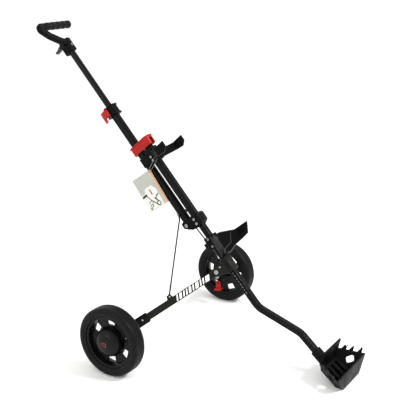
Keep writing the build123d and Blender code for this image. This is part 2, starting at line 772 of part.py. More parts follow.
# ---- link rods: wire from the pin on the back tube to the legs ----
rod_radius = 2.5
eye_outer = 6.5
rod_line = rod_foot - rod_top
rod_drop = Vector(0, rod_line.Y, rod_line.Z).normalized()
rod_bend = rod_top + rod_drop * 17
rod_run = (rod_foot - rod_bend).normalized()
rod_turn_axis = Vector(0.99815, -0.0295, -0.05318)  # a little off the pin, so the foot keeps to its leg
with BuildPart() as link_rod:
    with BuildLine() as rod_path:
        FilletPolyline(rod_top + rod_drop * 5, rod_bend, rod_foot - rod_run * 5, radius=7)
    with BuildSketch(Plane(origin=rod_top + rod_drop * 5, z_dir=rod_drop)):
        Circle(rod_radius)
    sweep(path=rod_path.line)
    with BuildSketch(Plane(origin=rod_top, z_dir=rod_turn_axis)):
        Circle(eye_outer)
    extrude(amount=2, both=True)
    with BuildSketch(Plane(origin=rod_top, z_dir=rod_turn_axis)):
        Circle(3.1)
    extrude(amount=4, both=True, mode=Mode.SUBTRACT)
    with BuildSketch(Plane(origin=rod_foot - fold_axis * 1.5, x_dir=rod_run, z_dir=fold_axis)):
        with Locations((-4, 0)):
            SlotCenterToCenter(8, 8)
        Circle(2.2, mode=Mode.SUBTRACT)
    extrude(amount=3)
write_pair(link_rod, "link_rod")

# ---- card tag on a thin string ----
tag_turn = 4.0
tag_lean = 35.4
string_radius = 0.7
tag_level = Vector(-sin(radians(tag_turn)), cos(radians(tag_turn)), 0)
tag_width_way = tag_level * cos(radians(tag_lean)) - Vector(0, 0, 1) * sin(radians(tag_lean))
tag_face = Vector(-cos(radians(tag_turn)), -sin(radians(tag_turn)), 0)
tag_hole = floor_point + Vector(-24.6, 81, 579)
with BuildPart() as tag_card:
    with BuildSketch(Plane(origin=tag_hole - tag_face * 0.4, x_dir=tag_width_way, z_dir=tag_face)):
        with Locations((88 / 2 - 10, 126 / 2 - 10)):
            RectangleRounded(88, 126, 4)
        Circle(3.5, mode=Mode.SUBTRACT)
    extrude(amount=0.8)
write(tag_card, "tag_card")

string_route = [
    (-27, 58, 637), (-28, 62, 624), (-29.6, 70, 609), (-30.2, 76.5, 597), (-29.8, 79.5, 588.5),
    (-29, 80.6, 582.4), (-26.4, 81, 578.6), (-22.8, 80.8, 578.5), (-20.1, 79.9, 582.4),
    (-19.4, 77, 589), (-19.8, 70.5, 599), (-21.5, 61, 612), (-23.5, 51, 628), (-24.5, 43.5, 643),
]
string_points = [floor_point + Vector(*place) for place in string_route]


def corner_radii(points):
    """Arcs as large as the two runs at each corner allow."""
    radii = []
    for before, corner, after in zip(points, points[1:], points[2:]):
        turn = (corner - before).get_angle(after - corner)
        shorter = min((corner - before).length, (after - corner).length)
        radii.append(0.45 * shorter / tan(radians(turn / 2)))
    return radii


string_radii = corner_radii(string_points)
print("string arc radii", [round(radius, 1) for radius in string_radii])
with BuildPart() as tag_string:
    with BuildLine() as string_path:
        FilletPolyline(*string_points, radius=string_radii)
    with BuildSketch(Plane(origin=string_points[0], z_dir=string_points[1] - string_points[0])):
        Circle(string_radius)
    sweep(path=string_path.line)
write(tag_string, "tag_string")
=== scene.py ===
# %% [markdown]
# # A folding pull cart for a golf bag
# The cart stands open and empty: two sloping tubes, two curved cradles, splayed legs with wheels,
# a scoop for the bag's foot and a handle with a ribbed grip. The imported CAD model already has
# every part in its real place and size. This lesson gives those parts their finish, rounds over
# the moulded edges, and models what is soft or fine: tyres, grip, string, tag and painted marks.

# %% Load the frame
import json
from math import cos, pi, radians, sin

import bmesh
import bpy
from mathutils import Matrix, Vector


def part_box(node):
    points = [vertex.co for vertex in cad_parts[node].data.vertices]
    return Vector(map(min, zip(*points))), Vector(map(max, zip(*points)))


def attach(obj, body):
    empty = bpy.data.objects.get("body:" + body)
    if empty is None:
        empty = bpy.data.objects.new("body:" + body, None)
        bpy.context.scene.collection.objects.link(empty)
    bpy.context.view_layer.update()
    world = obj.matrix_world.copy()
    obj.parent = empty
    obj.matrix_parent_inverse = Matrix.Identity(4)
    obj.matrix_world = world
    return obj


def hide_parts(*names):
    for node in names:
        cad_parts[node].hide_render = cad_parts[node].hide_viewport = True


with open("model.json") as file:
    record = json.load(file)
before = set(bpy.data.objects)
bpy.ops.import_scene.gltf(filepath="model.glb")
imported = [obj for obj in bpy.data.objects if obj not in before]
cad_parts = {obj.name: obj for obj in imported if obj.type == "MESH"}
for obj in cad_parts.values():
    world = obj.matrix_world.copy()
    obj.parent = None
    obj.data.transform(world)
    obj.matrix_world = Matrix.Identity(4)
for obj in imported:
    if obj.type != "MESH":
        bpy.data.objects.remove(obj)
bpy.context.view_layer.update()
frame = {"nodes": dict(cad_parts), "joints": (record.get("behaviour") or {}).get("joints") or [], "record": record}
nodes = frame["nodes"]
bodies = frame["record"]["behaviour"]["bodies"]

# %% [markdown]
# Everything is placed from the frame. The sliding joint of the upper frame runs down the tubes,
# so its axis gives the slope. The middle of a round tube's box lies on the tube's own axis.

# %% Directions and places
MM = 0.001
ACROSS = Vector((1, 0, 0))
UP = Vector((0, 0, 1))


def joint(name):
    return next(each for each in frame["joints"] if each["name"] == name)


def middle(node):
    low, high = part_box(node)
    return (low + high) / 2


up_tube = -Vector(joint("upper_frame_slide")["axis"]).normalized()
behind = up_tube.cross(ACROSS)
front_axis = middle("front_tube")
floor_point = Vector((0, middle("right_tyre").y, 0))
FRONT_TUBE_MIDDLE = 386.5
print("tubes rise", round(up_tube.z, 3), "per metre of tube")


def on_front_axis(station):
    """A point on the front tube's axis, this far up it in millimetres, from the floor's side."""
    return front_axis + up_tube * ((station - FRONT_TUBE_MIDDLE) * MM)


def place_of(node):
    """The CAD body that a node rides on."""
    return next(body for body, members in bodies.items() if node in members)


# %% [markdown]
# ## The camera, the floor and the light
# The camera stands low on the right of the cart and looks slightly down. A long lens keeps the
# two wheels nearly the same size. The floor is plain and pale, a small soft light from the upper
# right draws a thin bright line along every tube, and a wider, weaker one opens up the shaded side.

# %% Camera
camera_place = floor_point + Vector((-2.2563, -1.5277, 1.3042))
look = Vector((0.8108, 0.5106, -0.2862))
camera_data = bpy.data.cameras.new("camera")
camera_data.lens = 75.29
camera_data.sensor_width = 36
camera = bpy.data.objects.new("camera", camera_data)
camera.location = camera_place
camera.rotation_euler = look.to_track_quat("-Z", "Y").to_euler()
bpy.context.scene.collection.objects.link(camera)
bpy.context.scene.camera = camera

# %% Shader maths
WHITE = (0.93, 0.93, 0.92, 1)


class Value:
    """A shader socket that takes part in ordinary Python expressions."""

    def __init__(self, finish, socket):
        self.finish, self.socket = finish, socket

    def maths(self, operation, *others):
        values = dict(enumerate((self, *others)))
        return self.finish.add("ShaderNodeMath", {"operation": operation}, values)

    def __add__(self, other):
        return self.maths("ADD", other)

    def __sub__(self, other):
        return self.maths("SUBTRACT", other)

    def __mul__(self, other):
        return self.maths("MULTIPLY", other)

    def __rsub__(self, other):
        return self * -1 + other

    __radd__ = __add__
    __rmul__ = __mul__

    def between(self, low, high):
        """0 up to low, 1 from high on, and a straight climb between them."""
        limits = {"From Min": low, "From Max": high}
        return self.finish.add("ShaderNodeMapRange", {"clamp": True}, {"Value": self, **limits})


class Finish:
    """One material: its Principled shader, and the nodes that feed it."""

    def __init__(self, name, **constants):
        self.material = bpy.data.materials.new(name)
        self.material.use_nodes = True
        self.tree = self.material.node_tree
        self.shader = self.tree.nodes["Principled BSDF"]
        for socket, value in constants.items():
            self.feed(self.shader.inputs[socket.replace("_", " ")], value)
        self.place = self.add("ShaderNodeTexCoord", output="Object")

    def feed(self, socket, value):
        if isinstance(value, Value):
            self.tree.links.new(value.socket, socket)
        else:
            socket.default_value = value

    def add(self, kind, settings=None, sockets=None, output=0):
        """Any node: its settings first, then its sockets' values or links."""
        node = self.tree.nodes.new(kind)
        for name, value in (settings or {}).items():
            setattr(node, name, value)
        for name, value in (sockets or {}).items():
            self.feed(node.inputs[name], value)
        return Value(self, node.outputs[output])

    def noise(self, size, detail=2.0, stretch=None):
        """Soft random values from 0 to 1, with lumps of about this size in metres."""
        place = self.place
        if stretch:
            place = self.add("ShaderNodeMapping", None, {"Vector": place, "Scale": stretch})
        sockets = {"Vector": place, "Scale": 1 / size, "Detail": detail}
        return self.add("ShaderNodeTexNoise", None, sockets)

    def mix(self, share, first, second):
        """From the first colour to the second, as share goes from 0 to 1."""
        sockets = {0: share, 6: first, 7: second}
        return self.add("ShaderNodeMix", {"data_type": "RGBA"}, sockets, output=2)

    def dot(self, direction, origin=(0, 0, 0)):
        """How far each point lies along a direction, from an origin, in metres."""
        offset = -Vector(direction).dot(Vector(origin))
        sockets = {0: self.place, 1: tuple(direction)}
        along = self.add("ShaderNodeVectorMath", {"operation": "DOT_PRODUCT"}, sockets, "Value")
        return along + offset

    def raise_by(self, height, metres):
        """Turns a height from 0 to 1 into a bump of that many metres."""
        sockets = {"Height": height, "Distance": metres, "Strength": 1.0}
        self.feed(self.shader.inputs["Normal"], self.add("ShaderNodeBump", None, sockets))

    def colour(self, value):
        self.feed(self.shader.inputs["Base Color"], value)

    def roughness(self, value):
        self.feed(self.shader.inputs["Roughness"], value)


def grey(level, warm=0.0):
    return (level * (1 + warm), level, level * (1 - warm), 1)


# %% Floor and lights
pale = Finish("pale_floor", Roughness=0.9, Specular_IOR_Level=0.1)
pale.colour(WHITE)
floor_shape = bmesh.new()
bmesh.ops.create_grid(floor_shape, x_segments=1, y_segments=1, size=15)
floor_mesh = bpy.data.meshes.new("floor")
floor_shape.to_mesh(floor_mesh)
floor_mesh.materials.append(pale.material)
floor = bpy.data.objects.new("floor", floor_mesh)
bpy.context.scene.collection.objects.link(floor)

world = bpy.data.worlds.new("studio")
world.use_nodes = True
world.node_tree.nodes["Background"].inputs["Color"].default_value = (1, 1, 1, 1)
world.node_tree.nodes["Background"].inputs["Strength"].default_value = 1.1
bpy.context.scene.world = world
bpy.context.scene.view_settings.view_transform = "Standard"
CART_MIDDLE = Vector((0, 0, 0.45))


def soft_light(name, place, size, power):
    """A square studio panel that faces the middle of the cart."""
    data = bpy.data.lights.new(name, "AREA")
    data.size, data.energy = size, power
    light = bpy.data.objects.new(name, data)
    light.location = place
    aim = CART_MIDDLE - light.location
    light.rotation_euler = aim.to_track_quat("-Z", "Y").to_euler()
    bpy.context.scene.collection.objects.link(light)


soft_light("key", Vector((0.6, -3.0, 3.2)), 0.7, 120)
soft_light("fill", Vector((-3.2, 0.8, 2.0)), 2.2, 28)
print("camera, floor and two lights are in place")

# %% [markdown]
# ## The finishes
# A finish is more than one colour. Powder coat has a faint orange-peel skin and rubbed spots,
# moulded plastic has a fine grain and a bloom of dust, rubber is mottled, and plated steel is
# brushed. Each pattern is laid out in the object's own metres, so its scale is the real one.

# %% Painted tubes


def powder_coat(name, colour, worn, gloss, **constants):
    """Baked paint: orange-peel skin, cloudy gloss, and rubbed spots where the metal has dulled."""
    finish = Finish(name, **constants)
    cloud = finish.noise(0.045, 3)
    rubbed = finish.noise(0.009, 5, stretch=(1, 0.45, 0.45)).between(0.63, 0.74)
    clean = finish.mix(cloud, colour, tuple(1.35 * part for part in colour[:3]) + (1,))
    finish.colour(finish.mix(rubbed * 0.5, clean, worn))
    finish.roughness(cloud * 0.12 + rubbed * 0.16 + gloss)
    finish.raise_by(finish.noise(0.0014, 2) + rubbed * -0.6, 0.00004)
    return finish


graphite = powder_coat(
    "graphite_tube", grey(0.003), grey(0.010), 0.24, Specular_IOR_Level=0.05, Coat_Weight=0.08,
    Coat_Roughness=0.07,
)
shaft_paint = powder_coat(
    "bright_shaft", grey(0.004), grey(0.012), 0.2, Specular_IOR_Level=0.06, Coat_Weight=0.12,
    Coat_Roughness=0.06,
)
olive = powder_coat(
    "leg_paint", (0.0060, 0.0062, 0.0044, 1), (0.016, 0.016, 0.012, 1), 0.33,
    Specular_IOR_Level=0.09, Coat_Weight=0.1, Coat_Roughness=0.15,
)
wire = powder_coat("link_wire", grey(0.006), grey(0.03), 0.3, Specular_IOR_Level=0.2)

# %% Moulded plastic


def moulded(name, colour, dusty, gloss, grain=0.0007, **constants):
    """Spark-eroded plastic: a fine even grain, a little dust, and shinier handled patches."""
    finish = Finish(name, **constants)
    skin = finish.noise(grain, 2)
    dust = finish.noise(0.02, 4).between(0.48, 0.72)
    handled = finish.noise(0.05, 2).between(0.45, 0.7)
    finish.colour(finish.mix(dust * 0.45 + skin * 0.12, colour, dusty))
    finish.roughness(dust * 0.12 - handled * 0.1 + gloss)
    finish.raise_by(skin, 0.00007)
    return finish


black_moulding = moulded(
    "black_moulding", grey(0.0022), grey(0.005, 0.04), 0.4, Specular_IOR_Level=0.06
)
wheel_moulding = moulded(
    "wheel_moulding", grey(0.003), grey(0.006, 0.05), 0.3, Specular_IOR_Level=0.14
)
lever_moulding = moulded("lever_moulding", grey(0.018), grey(0.035), 0.42, Specular_IOR_Level=0.2)
red_moulding = moulded(
    "red_moulding", (0.33, 0.006, 0.004, 1), (0.42, 0.018, 0.011, 1), 0.36, Specular_IOR_Level=0.2
)

# %% Rubber


def rubbery(name, colour, scuffed, gloss, speck=0.0016):
    """Rubber: mottled, matt, and greyer where it has been scuffed."""
    finish = Finish(name, Specular_IOR_Level=0.09, Sheen_Weight=0.01, Sheen_Roughness=0.6)
    scuff = finish.noise(0.012, 6).between(0.5, 0.78)
    fleck = finish.noise(speck, 3)
    finish.colour(finish.mix(scuff * 0.7, colour, scuffed))
    finish.roughness(fleck * 0.1 + scuff * 0.1 + gloss)
    finish.raise_by(fleck + scuff * 0.4, 0.00012)
    return finish


tyre_rubber = rubbery("tyre_rubber", grey(0.004), grey(0.009, 0.05), 0.36)
grip_rubber = rubbery("grip_rubber", grey(0.004), grey(0.009), 0.42, speck=0.0009)

# %% Plated steel
steel = Finish("plated_steel", Metallic=1.0)
streaks = steel.noise(0.0006, 3, stretch=(1, 1, 0.15))
stain = steel.noise(0.006, 4).between(0.5, 0.8)
steel.colour(steel.mix(stain, (0.36, 0.36, 0.37, 1), (0.2, 0.2, 0.19, 1)))
steel.roughness(streaks * 0.14 + stain * 0.15 + 0.22)
steel.raise_by(streaks, 0.00002)
print(len(bpy.data.materials), "materials so far")

# %% [markdown]
# ## CAD parts that keep their shape
# A tube, a pin or a screw is already right, so it only changes its material.

# %% Dress the plain CAD parts


def dress(finish, *names):
    for name in names:
        for slot in nodes[name].material_slots:
            slot.material = finish.material


def both(name):
    return [f"right_{name}", f"left_{name}"]


dress(graphite, "lower_tube", "front_tube", "back_tube")
dress(shaft_paint, "handle_shaft")
dress(olive, *both("leg"))
dress(wire, *both("link_rod"))
dress(black_moulding, "shaft_guide", "brake_bracket")
dress(wheel_moulding, *both("wheel_bushes"))
dress(steel, "fold_pin", "rod_pin", "block_screws", "head_bolt")
dress(steel, "upper_cradle_screws", "lower_cradle_screws")
dress(steel, "cam_lever_pin", "head_lever_pin", *both("leg_pin"), *both("axle"))

# %% [markdown]
# ## Moulded parts with softened edges
# A moulding never has a knife edge: the steel mould is cut with a radius, and the radius is what
# catches the light. The CAD part is copied, its loose triangles are welded and its flat faces
# joined up again. A Bevel modifier then rolls over the edges that are sharper than an angle.

# %% Soften


def add_piece(name, mesh, body, finish):
    piece = bpy.data.objects.new(name, mesh)
    bpy.context.scene.collection.objects.link(piece)
    mesh.materials.clear()
    mesh.materials.append(finish.material)
    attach(piece, body)
    return piece


def finish_mesh(name, shape):
    """The bmesh as a mesh with smooth faces, its normals pointing out."""
    bmesh.ops.recalc_face_normals(shape, faces=shape.faces)
    for face in shape.faces:
        face.smooth = True
    mesh = bpy.data.meshes.new(name)
    shape.to_mesh(mesh)
    shape.free()
    return mesh


def bevel(piece, width, segments=2, angle=32):
    edge = piece.modifiers.new("soft_edge", "BEVEL")
    edge.width, edge.segments = width, segments
    edge.limit_method, edge.angle_limit = "ANGLE", radians(angle)
    edge.harden_normals = True
    edge.use_clamp_overlap = True


def soften(name, new_name, finish, width):
    """A copy of a CAD part with its sharp edges rolled over by this width."""
    shape = bmesh.new()
    shape.from_mesh(nodes[name].data)
    bmesh.ops.remove_doubles(shape, verts=shape.verts, dist=0.003 * MM)
    bmesh.ops.dissolve_limit(shape, angle_limit=radians(0.6), verts=shape.verts, edges=shape.edges)
    piece = add_piece(new_name, finish_mesh(new_name, shape), place_of(name), finish)
    bevel(piece, width)
    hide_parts(name)
    return piece


for name, width in (
    ("lower_cradle", 1.2), ("upper_cradle", 1.2), ("fold_block", 1.0), ("foot_base", 0.8),
    ("shaft_collar", 0.8), ("handle_head", 1.4),
    ("right_axle_socket", 1.2), ("left_axle_socket", 1.2),
):
    soften(name, f"{name}_moulding", black_moulding, width * MM)
for name, width in (("lock_sleeve", 1.2), ("cam_lever", 0.6), ("brake_pedal", 1.0)):
    soften(name, f"{name}_moulding", red_moulding, width * MM)
for name in both("wheel_disc") + both("hub_cap"):
    soften(name, f"{name}_moulding", wheel_moulding, 0.8 * MM)
for name in ["hub_bracket"] + both("rod_lug"):
    soften(name, f"{name}_pressing", olive, 0.5 * MM)
soften("head_lever", "head_lever_moulding", lever_moulding, 0.6 * MM)
print("softened parts done")

# %% [markdown]
# ## Tyres
# The tyre is solid rubber on the rim: a nearly flat tread with fine grooves that run all the way
# round, round shoulders, and a raised bead where it grips the rim. Half of its section is drawn
# once, mirrored by arithmetic, and spun round the axle.

# %% Spin a section


def spun(points, origin, axis, steps, closed=True):
    """A ring or a turned shape: points are (along the axis, out from it), in metres."""
    shape = bmesh.new()
    side = axis.orthogonal().normalized()
    corners = [shape.verts.new(origin + axis * along + side * out) for along, out in points]
    pairs = list(zip(corners, corners[1:] + corners[:1]))
    edges = [shape.edges.new(pair) for pair in (pairs if closed else pairs[:-1])]
    bmesh.ops.spin(
        shape, geom=corners + edges, cent=origin, axis=axis, dvec=(0, 0, 0),
        angle=2 * pi, steps=steps, use_merge=True, use_duplicate=False,
    )
    bmesh.ops.remove_doubles(shape, verts=shape.verts, dist=0.01 * MM)
    return shape


tyre_low, tyre_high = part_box("right_tyre")
tyre_radius = (tyre_high.z - tyre_low.z) / 2
tyre_half = (tyre_high.x - tyre_low.x) / 2
rim_radius = 84.2 * MM
groove_gap, groove_width, groove_depth = 6.0 * MM, 1.4 * MM, 1.3 * MM
groove_wall = 0.2 * MM
shoulder = 13 * MM
shoulder_drop = 0.1 * MM


def tyre_section():
    """One side of the section, from the middle of the tread down to the bead, then mirrored."""
    half = [(0, tyre_radius)]
    for number in range(3):
        start = groove_gap * (number + 0.5) - groove_width / 2
        half += [
            (start, tyre_radius),
            (start + groove_wall, tyre_radius - groove_depth),
            (start + groove_width - groove_wall, tyre_radius - groove_depth),
            (start + groove_width, tyre_radius),
        ]
    for number in range(7):
        angle = pi / 2 * (1 - number / 6)
        along = tyre_half - shoulder * (1 - cos(angle))
        half.append((along, tyre_radius - shoulder * (1 - sin(angle)) - shoulder_drop))
    half += [
        (tyre_half, 97 * MM),
        (tyre_half - 1.2 * MM, 92 * MM),
        (tyre_half - 0.6 * MM, 90.5 * MM),
        (tyre_half - 1.2 * MM, 88.5 * MM),
        (tyre_half - 3.5 * MM, 86 * MM),
        (tyre_half - 7 * MM, rim_radius),
    ]
    return half + [(-along, out) for along, out in reversed(half) if along > 0]


for side in ("right", "left"):
    tyre_mesh = finish_mesh("tyre", spun(tyre_section(), middle(f"{side}_tyre"), ACROSS, 96))
    tyre = add_piece(f"{side}_tyre_rubber", tyre_mesh, f"{side}_wheel", tyre_rubber)
    bevel(tyre, 0.3 * MM, segments=1)
    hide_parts(f"{side}_tyre")
print("tyre radius", round(tyre_radius, 4))

# %% [markdown]
# ## Washers
# A turned washer holds each wheel on its axle. It keeps a tenth of a millimetre clear of the
# wheel's bush, so that the two never rub, and its outer corners are chamfered.

# %% Washers on the axles
inner_face, outer_face = 24.5 * MM, 26 * MM
washer_bore, washer_radius, washer_chamfer = 6.02 * MM, 11 * MM, 0.4 * MM
washer_section = [
    (inner_face, washer_bore),
    (outer_face, washer_bore),
    (outer_face, washer_radius - washer_chamfer),
    (outer_face - washer_chamfer, washer_radius),
    (inner_face + washer_chamfer, washer_radius),
    (inner_face, washer_radius - washer_chamfer),
]
for side, way in (("right", -1), ("left", 1)):
    washer_shape = spun(washer_section, middle(f"{side}_tyre"), ACROSS * way, 32)
    washer_mesh = finish_mesh("washer", washer_shape)
    name = f"{side}_turned_washer"
    washer = add_piece(name, washer_mesh, f"{side}_leg_body", steel)
    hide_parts(f"{side}_axle_washer")

# %% [markdown]
# ## The grip
# A soft sleeve with five swellings for the fingers, parted by narrow waists, and a round nose at
# its free end. One formula gives the radius along it: the side of a sine wave, raised to a power
# below one, is wide at the top and narrow in the waist.

# %% Grip
grip_low, grip_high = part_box("grip")
grip_middle = middle("grip")
grip_length = grip_high.x - grip_low.x
grip_radius, waist_depth = 14 * MM, 2.6 * MM
end_radius = 8 * MM
nose_length = 9 * MM
bulges = 5


def grip_profile(samples=90):
    points = [(0, end_radius)]
    for number in range(samples + 1):
        along = grip_length * number / samples
        wave = abs(sin(pi * bulges * min(along, grip_length - 0.01 * MM) / grip_length)) ** 0.55
        out = grip_radius - waist_depth * (1 - wave)
        left = grip_length - along
        if left < nose_length:
            out = grip_radius * max(0.0, 1 - (1 - left / nose_length) ** 2.4) ** 0.5
        points.append((along, out))
    return points


grip_start = Vector((grip_low.x, grip_middle.y, grip_middle.z))
grip_mesh = finish_mesh("grip", spun(grip_profile(), grip_start, ACROSS, 40, closed=False))
grip = add_piece("grip_sleeve", grip_mesh, "handle", grip_rubber)
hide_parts("grip")
print("grip is", round(grip_length, 4), "long")

# %% [markdown]
# ## The tag and its string
# A printed card hangs from the upper cradle on a thin string. The string is a free cord: one
# smooth curve through the card's hole, with both ends held in the cradle.

# %% String
string_route = [
    (-27, 58, 637), (-28, 62, 624), (-29.6, 70, 609), (-30.2, 76.5, 597), (-29.8, 79.5, 588.5),
    (-29, 80.6, 582.4), (-26.4, 81, 578.6), (-22.8, 80.8, 578.5), (-20.1, 79.9, 582.4),
    (-19.4, 77, 589), (-19.8, 70.5, 599), (-21.5, 61, 612), (-23.5, 51, 628), (-24.5, 43.5, 643),
]
STRING_RADIUS = 0.7
string_points = [floor_point + Vector(place) * MM for place in string_route]
string_curve = bpy.data.curves.new("tag_thread", "CURVE")
string_curve.dimensions = "3D"
line = string_curve.splines.new("NURBS")
line.points.add(len(string_points) - 1)
for point, place in zip(line.points, string_points):
    point.co = (*place, 1)
line.order_u = 3
line.use_endpoint_u = True
string_curve.resolution_u = 12
string_curve.bevel_depth = STRING_RADIUS * MM
string_curve.bevel_resolution = 3
thread_finish = Finish("twisted_thread", Sheen_Weight=0.3, Specular_IOR_Level=0.2)
lay = thread_finish.noise(0.0009, 2, stretch=(1, 1, 0.5))
thread_finish.colour(thread_finish.mix(lay, (0.10, 0.10, 0.095, 1), (0.26, 0.26, 0.25, 1)))
thread_finish.roughness(lay * 0.1 + 0.75)
thread_finish.raise_by(lay, 0.0002)
string_curve.materials.append(thread_finish.material)
thread = bpy.data.objects.new("tag_thread", string_curve)
bpy.context.scene.collection.objects.link(thread)
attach(thread, "upper_frame")
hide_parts("tag_string")

# %% [markdown]
# The card's print is laid on it as very thin inked shapes: a bright stripe down one long edge, a
# pale panel with a small red bar, and a plain pictogram of a two-wheel cart in strokes and rings.
# There are no words.

# %% Print
tag_turn, tag_lean = radians(4), radians(35.4)
tag_level = Vector((-sin(tag_turn), cos(tag_turn), 0))
tag_right = tag_level * cos(tag_lean) - UP * sin(tag_lean)
tag_face = Vector((-cos(tag_turn), -sin(tag_turn), 0))
tag_down = tag_face.cross(tag_right)
if tag_down.z > 0:
    tag_down = -tag_down
tag_middle = middle("tag_card")
CARD_WIDE, CARD_LONG = 88, 126


def flat_shape(points, plane, thickness):
    """A thin plate: points are (right, down) on the plane, in millimetres."""
    origin, right, down, out = plane
    shape = bmesh.new()
    corners = [shape.verts.new(origin + (right * x + down * y) * MM) for x, y in points]
    face = shape.faces.new(corners)
    grown = bmesh.ops.extrude_face_region(shape, geom=[face])["geom"]
    moved = [part for part in grown if isinstance(part, bmesh.types.BMVert)]
    bmesh.ops.translate(shape, verts=moved, vec=out * thickness)
    return shape


def joined(name, shapes):
    """Several bmeshes as one mesh."""
    whole = bmesh.new()
    for shape in shapes:
        part = bpy.data.meshes.new("part")
        shape.to_mesh(part)
        shape.free()
        whole.from_mesh(part)
        bpy.data.meshes.remove(part)
    bmesh.ops.recalc_face_normals(whole, faces=whole.faces)
    mesh = bpy.data.meshes.new(name)
    whole.to_mesh(mesh)
    whole.free()
    return mesh


def stroke(start, end, width):
    """The corners of a straight stroke from start to end."""
    a, b = Vector((*start, 0)), Vector((*end, 0))
    side = (b - a).normalized().cross(UP) * width / 2
    return [tuple(corner.xy) for corner in (a + side, b + side, b - side, a - side)]


def ring_strokes(centre, radius, width, pieces=16):
    """A ring as short strokes, so that it can share the plate helper."""
    turns = [2 * pi * n / pieces for n in range(pieces)]
    places = [(centre[0] + radius * cos(turn), centre[1] + radius * sin(turn)) for turn in turns]
    return [stroke(a, b, width) for a, b in zip(places, places[1:] + places[:1])]


# The print starts just above the card's face, half of its 0.8 mm out from its middle.
PRINT_LIFT = 0.42
tag_plane = (tag_middle + tag_face * PRINT_LIFT * MM, -tag_right, tag_down, tag_face)
INK = 0.06 * MM


def tag_ink(name, outlines, finish, level=0):
    origin, right, down, out = tag_plane
    plane = (origin + out * INK * 1.5 * level, right, down, out)
    mesh = joined(name, [flat_shape(outline, plane, INK) for outline in outlines])
    return add_piece(name, mesh, "upper_frame", finish)


def printed(name, colour, faded):
    finish = Finish(name, Specular_IOR_Level=0.45)
    tooth = finish.noise(0.0005, 2)
    tone = finish.noise(0.03, 2)
    finish.colour(finish.mix(tone * 0.5 + tooth * 0.2, colour, faded))
    finish.roughness(tooth * 0.15 + 0.42)
    finish.raise_by(tooth, 0.00002)
    return finish


card_stock = printed("card_stock", (0.36, 0.37, 0.32, 1), (0.50, 0.50, 0.45, 1))
orange_ink = printed("orange_ink", (0.62, 0.22, 0.02, 1), (0.78, 0.32, 0.05, 1))
pale_ink = printed("pale_ink", (0.66, 0.66, 0.60, 1), (0.78, 0.78, 0.72, 1))
dark_ink = printed("dark_ink", (0.012, 0.014, 0.011, 1), (0.03, 0.035, 0.028, 1))
red_ink = printed("red_ink", (0.22, 0.05, 0.05, 1), (0.3, 0.08, 0.08, 1))
dress(card_stock, "tag_card")
print("tag middle", [round(part, 3) for part in tag_middle])

# %% Lay the print on the card
edge_x = CARD_WIDE / 2
edge_y = CARD_LONG / 2
stripe = [
    (edge_x - 6, 1 - edge_y), (edge_x - 1, 1 - edge_y),
    (edge_x - 1, edge_y - 1), (edge_x - 6, edge_y - 1),
]
panel = [(-43, 0), (-26, 0), (-16, -16), (14, -16), (25, 2), (25, 61), (-43, 61)]
tag_ink("tag_stripe", [stripe], orange_ink)
tag_ink("tag_panel", [panel], pale_ink)
tag_ink("tag_badge", [stroke((0, -7), (0, 14), 5)], red_ink, level=1)
# Each line of the cart is (start, end, width), in millimetres from the card's middle.
cart_lines = [
    ((-42, 8), (-20, 5), 8), ((-24, 8), (-14, 30), 3), ((-14, 30), (4, 56), 3.5),
    ((-14, 30), (-30, 34), 2.5), ((-12, 34), (-22, 52), 2.5), ((2, 26), (10, 42), 5),
    ((12, 24), (24, 20), 4), ((4, 34), (12, 24), 3), ((-34, 52), (-28, 58), 5),
]
pictogram = [stroke(*each) for each in cart_lines]
pictogram += ring_strokes((8, 50), 7, 3.5) + ring_strokes((-24, 46), 5, 2.5)
tag_ink("tag_pictogram", pictogram, dark_ink, level=1)

# %% [markdown]
# ## Painted marks
# A light band of slanted bars is printed on the near leg, and a row of small dashes on the lower
# tube. Both are plain patterns. Like the print on the tag they are thin inked plates, laid a
# hair's breadth above the paint, so that they are part of the mesh.

# %% Bars on the leg
hinge = joint("right_leg_fold")
leg_hinge = Vector(hinge["pos_m"])
leg_face = Vector(hinge["axis"]).normalized()
leg_way = (middle("right_tyre") - leg_hinge).normalized()
leg_up = leg_face.cross(leg_way)
if leg_up.z < 0:
    leg_up = -leg_up
LEG_THICK = 12 * MM
PAINT_GAP, PAINT_THICK = 0.02 * MM, 0.08 * MM
leg_plane = (leg_hinge + leg_face * (LEG_THICK / 2 + PAINT_GAP), leg_way, leg_up, leg_face)
white_ink = printed("white_ink", (0.86, 0.86, 0.84, 1), (0.95, 0.95, 0.93, 1))
grey_ink = printed("grey_ink", (0.12, 0.12, 0.11, 1), (0.2, 0.2, 0.19, 1))
bar_widths = [15, 5, 5, 12, 5, 9, 5, 5, 9, 5]
bar_gap, bar_half, bar_slant = 6.0, 8.8, 4.5
bars, reach = [], 27.0
for width in bar_widths:
    bars.append([
        (reach - bar_slant, bar_half), (reach + width - bar_slant, bar_half),
        (reach + width + bar_slant, -bar_half), (reach + bar_slant, -bar_half),
    ])
    reach += width + bar_gap
leg_marks = joined("leg_marks", [flat_shape(bar, leg_plane, PAINT_THICK) for bar in bars])
add_piece("right_leg_marks", leg_marks, "right_leg_body", white_ink)
print("bars reach", reach, "mm along the leg")

# %% Dashes on the lower tube
TUBE_SIDE = 20.5 * MM
DASHES_START = 54
tube_side = on_front_axis(DASHES_START) - ACROSS * (TUBE_SIDE / 2 + PAINT_GAP)
tube_plane = (tube_side, -up_tube, behind, -ACROSS)
dashes = [stroke((5 + 11 * n, 0), (11 + 11 * n, 0), 4 if n % 3 else 2.5) for n in range(8)]
tube_marks = joined("tube_marks", [flat_shape(dash, tube_plane, PAINT_THICK) for dash in dashes])
add_piece("lower_tube_marks", tube_marks, "frame", grey_ink)

